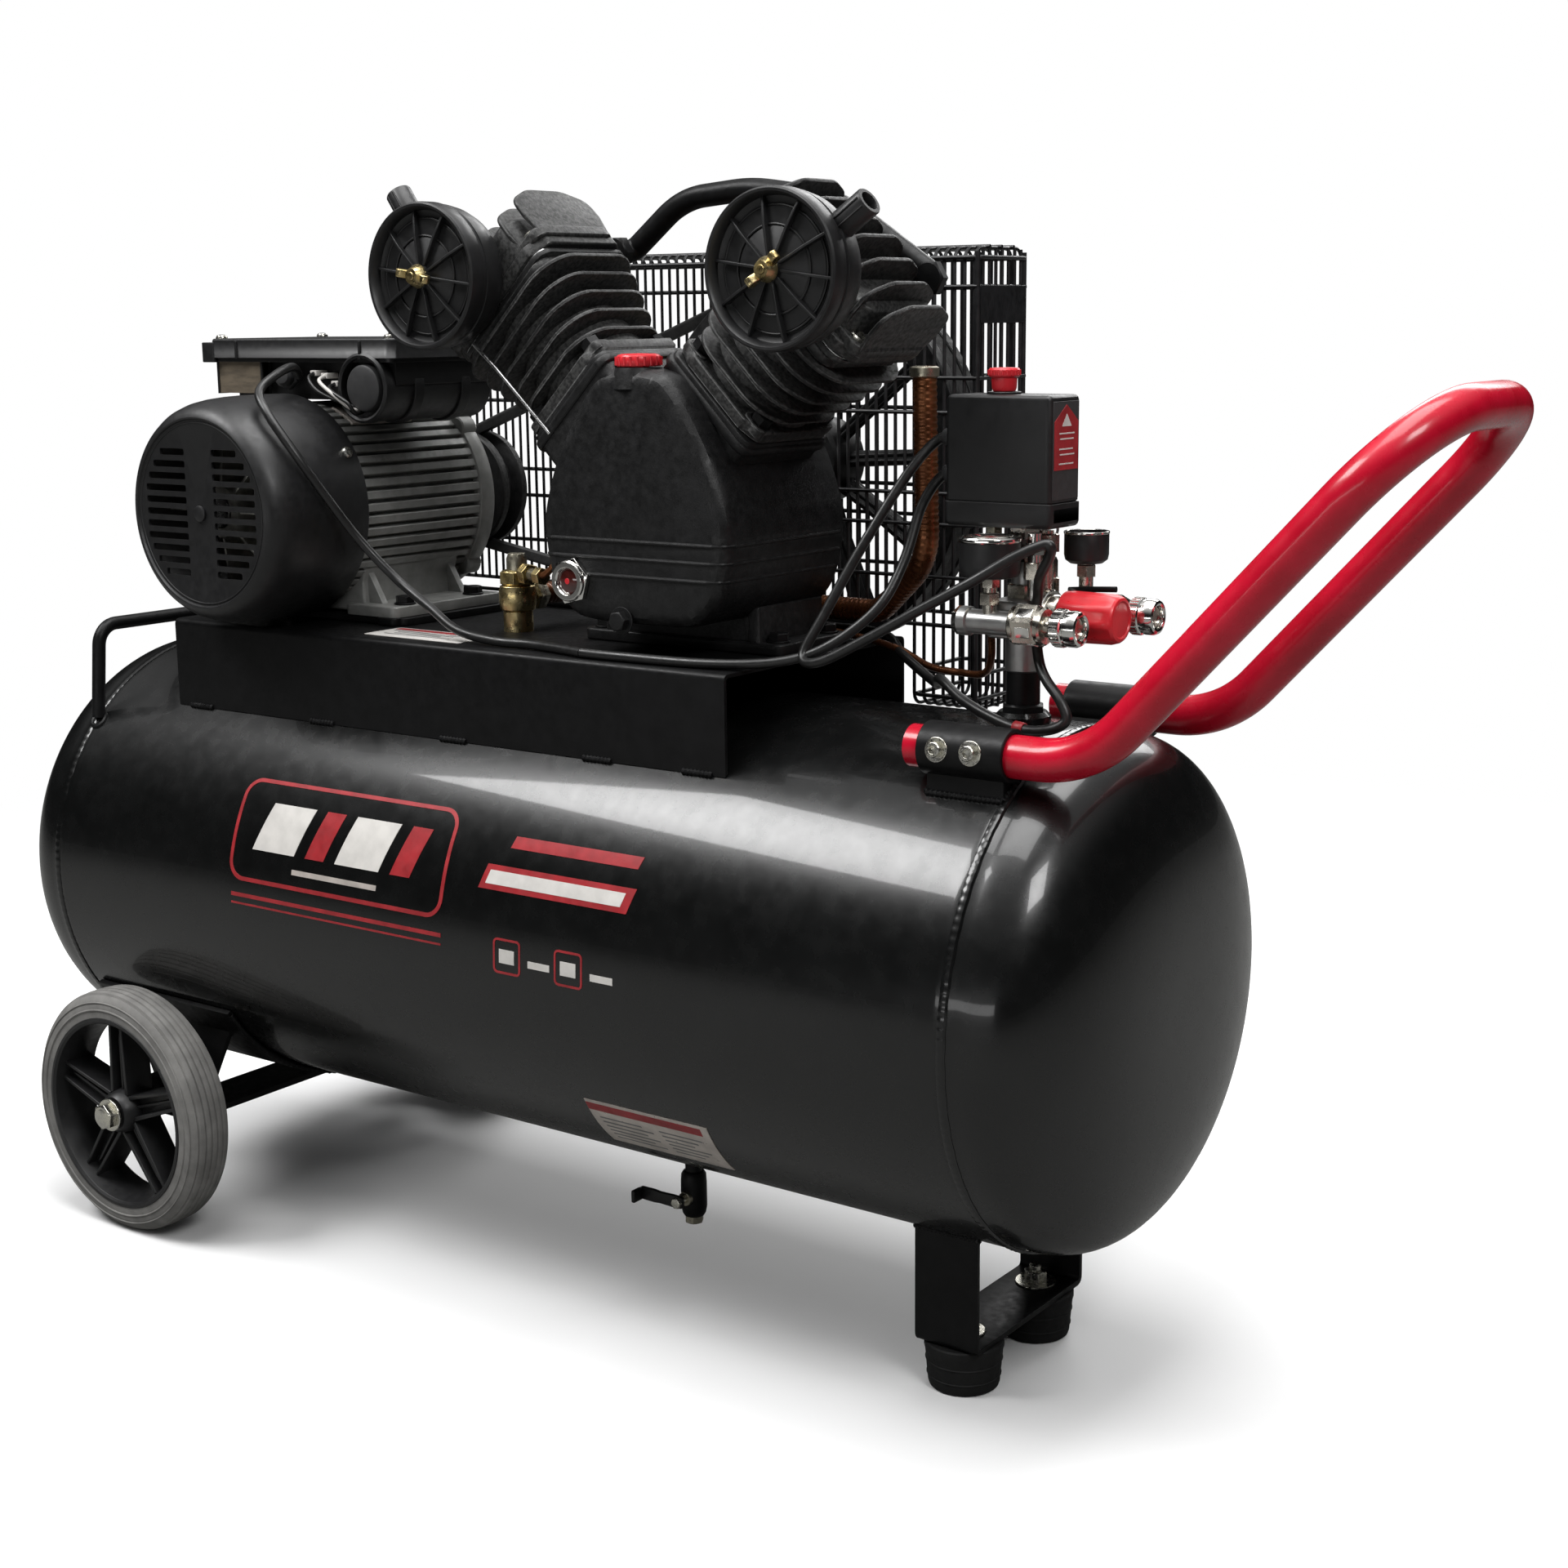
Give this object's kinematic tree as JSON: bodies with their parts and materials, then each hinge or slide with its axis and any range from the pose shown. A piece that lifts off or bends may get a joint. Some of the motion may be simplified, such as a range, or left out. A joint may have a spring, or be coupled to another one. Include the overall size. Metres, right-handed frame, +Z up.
{
  "type": "belt-driven twin-cylinder air compressor",
  "caption": "Belt-driven V-twin piston air compressor on a black horizontal receiver, with guard, motor, pressure switch, wheels and a red push handle.",
  "frame": {"origin": "on the floor, under the middle of the overall box", "axes": "+X runs along the receiver towards the push handle, -Y is the control side with the air filters and motor fan, +Y is the belt side, +Z is up"},
  "size_m": [1.2136, 0.44, 0.8304],
  "materials": {
    "black_casting": "matte",
    "black_plastic": "satin",
    "black_rubber": "matte",
    "brass": "satin",
    "bright_steel": "satin",
    "chrome": "polished",
    "copper_tube": "satin",
    "grey_aluminium": "satin",
    "iron": "matte",
    "machined_aluminium": "satin",
    "red_enamel": "gloss",
    "red_plastic": "gloss",
    "satin_black_metal": "satin",
    "tank_enamel": "gloss",
    "tyre_rubber": "matte",
    "yellow_plastic": "gloss"
  },
  "bodies": {
    "chassis": {"receiver_tank": "tank_enamel", "axle_bracket": "satin_black_metal", "axle_bolt_front": "bright_steel", "axle_bolt_rear": "bright_steel", "foot_strap": "satin_black_metal", "foot_front": "black_rubber", "foot_rear": "black_rubber", "grab_handle": "satin_black_metal", "handle_clamp_front": "satin_black_metal", "handle_clamp_rear": "satin_black_metal", "push_handle": "red_enamel", "deck_plate": "satin_black_metal", "motor_base": "grey_aluminium", "motor_housing": "grey_aluminium", "stator_core": "iron", "motor_end_shield": "grey_aluminium", "fan_cowl": "black_plastic", "terminal_box": "black_plastic", "crankcase": "black_casting", "bearing_carrier": "black_casting", "cylinder_left": "black_casting", "head_left": "black_casting", "cylinder_right": "black_casting", "head_right": "black_casting", "filter_left": "black_plastic", "filter_right": "black_plastic", "crossover_pipe": "satin_black_metal", "sight_glass": "chrome", "drive_belt": "black_rubber", "belt_guard": "satin_black_metal", "pressure_switch": "black_plastic", "air_manifold": "bright_steel", "gauge_tank": "black_plastic", "discharge_tube": "copper_tube", "check_valve": "brass", "drain_valve": "brass"},
    "front_wheel": {"tyre_front": "tyre_rubber", "rim_front": "black_plastic"},
    "rear_wheel": {"tyre_rear": "tyre_rubber", "rim_rear": "black_plastic"},
    "crank": {"crankshaft": "bright_steel", "flywheel": "black_casting"},
    "rotor": {"rotor_shaft": "bright_steel", "motor_fan": "black_plastic", "motor_pulley": "iron"},
    "left_piston": {"piston_left": "machined_aluminium", "rod_left": "bright_steel"},
    "right_piston": {"piston_right": "machined_aluminium", "rod_right": "bright_steel"},
    "switch_button": {"switch_knob": "red_plastic"},
    "regulator": {"regulator_knob": "red_plastic"},
    "drain_handle": {"drain_lever": "black_plastic"},
    "front_sleeve": {"coupler_sleeve_front": "chrome"},
    "rear_sleeve": {"coupler_sleeve_rear": "chrome"},
    "relief_pin": {"safety_valve_pin": "brass"},
    "left_wing_nut": {"wing_nut_left": "brass"},
    "right_wing_nut": {"wing_nut_right": "brass"},
    "oil_cap": {"oil_filler_cap": "red_plastic"},
    "breather": {"breather_cap": "yellow_plastic"},
    "needle": {"gauge_needle": "red_plastic"}
  },
  "joints": [
    {"name": "front_wheel_spin", "type": "hinge", "parent": "chassis", "child": "front_wheel", "pos_m": [-0.4368, -0.19, 0.101], "axis": [0, 1, 0], "continuous": true},
    {"name": "rear_wheel_spin", "type": "hinge", "parent": "chassis", "child": "rear_wheel", "pos_m": [-0.4368, 0.19, 0.101], "axis": [0, 1, 0], "continuous": true},
    {"name": "crank_spin", "type": "hinge", "parent": "chassis", "child": "crank", "pos_m": [0.0162, 0.15, 0.622], "axis": [0, 1, 0], "continuous": true},
    {"name": "rotor_spin", "type": "hinge", "parent": "chassis", "child": "rotor", "pos_m": [-0.3498, 0.15, 0.588], "axis": [0, 1, 0], "continuous": true},
    {"name": "left_piston_slide", "type": "slide", "parent": "chassis", "child": "left_piston", "axis": [-0.7071, 0, 0.7071], "range_m": [-0.038, 0.0079]},
    {"name": "right_piston_slide", "type": "slide", "parent": "chassis", "child": "right_piston", "axis": [0.7071, 0, 0.7071], "range_m": [-0.038, 0.0079]},
    {"name": "switch_pull", "type": "slide", "parent": "chassis", "child": "switch_button", "axis": [0, 0, 1], "range_m": [0, 0.006]},
    {"name": "regulator_turn", "type": "hinge", "parent": "chassis", "child": "regulator", "pos_m": [0.3402, 0, 0.537], "axis": [1, 0, 0], "range_deg": [-360, 360]},
    {"name": "drain_open", "type": "hinge", "parent": "chassis", "child": "drain_handle", "pos_m": [-0.0018, -0.019, 0.06], "axis": [0, 1, 0], "range_deg": [-90, 0]},
    {"name": "front_sleeve_slide", "type": "slide", "parent": "chassis", "child": "front_sleeve", "axis": [-1, 0, 0], "range_m": [0, 0.005]},
    {"name": "rear_sleeve_slide", "type": "slide", "parent": "chassis", "child": "rear_sleeve", "axis": [-1, 0, 0], "range_m": [0, 0.005]},
    {"name": "relief_pull", "type": "slide", "parent": "chassis", "child": "relief_pin", "axis": [0, 0, 1], "range_m": [0, 0.004]},
    {"name": "left_nut_turn", "type": "hinge", "parent": "chassis", "child": "left_wing_nut", "pos_m": [-0.1428, -0.123, 0.763], "axis": [0, 1, 0], "continuous": true},
    {"name": "right_nut_turn", "type": "hinge", "parent": "chassis", "child": "right_wing_nut", "pos_m": [0.1662, -0.123, 0.762], "axis": [0, 1, 0], "continuous": true},
    {"name": "oil_cap_lift", "type": "slide", "parent": "chassis", "child": "oil_cap", "axis": [0, 0, 1], "range_m": [0, 0.014]},
    {"name": "breather_lift", "type": "slide", "parent": "chassis", "child": "breather", "axis": [0, 0, 1], "range_m": [0, 0.018]},
    {"name": "needle_turn", "type": "hinge", "parent": "chassis", "child": "needle", "pos_m": [0.2822, -0.035, 0.585], "axis": [0, 0, -1], "range_deg": [0, 270]}
  ],
  "couplings": [
    {"joint": "rotor_spin", "follows": "crank_spin", "ratio": 3.4}
  ]
}
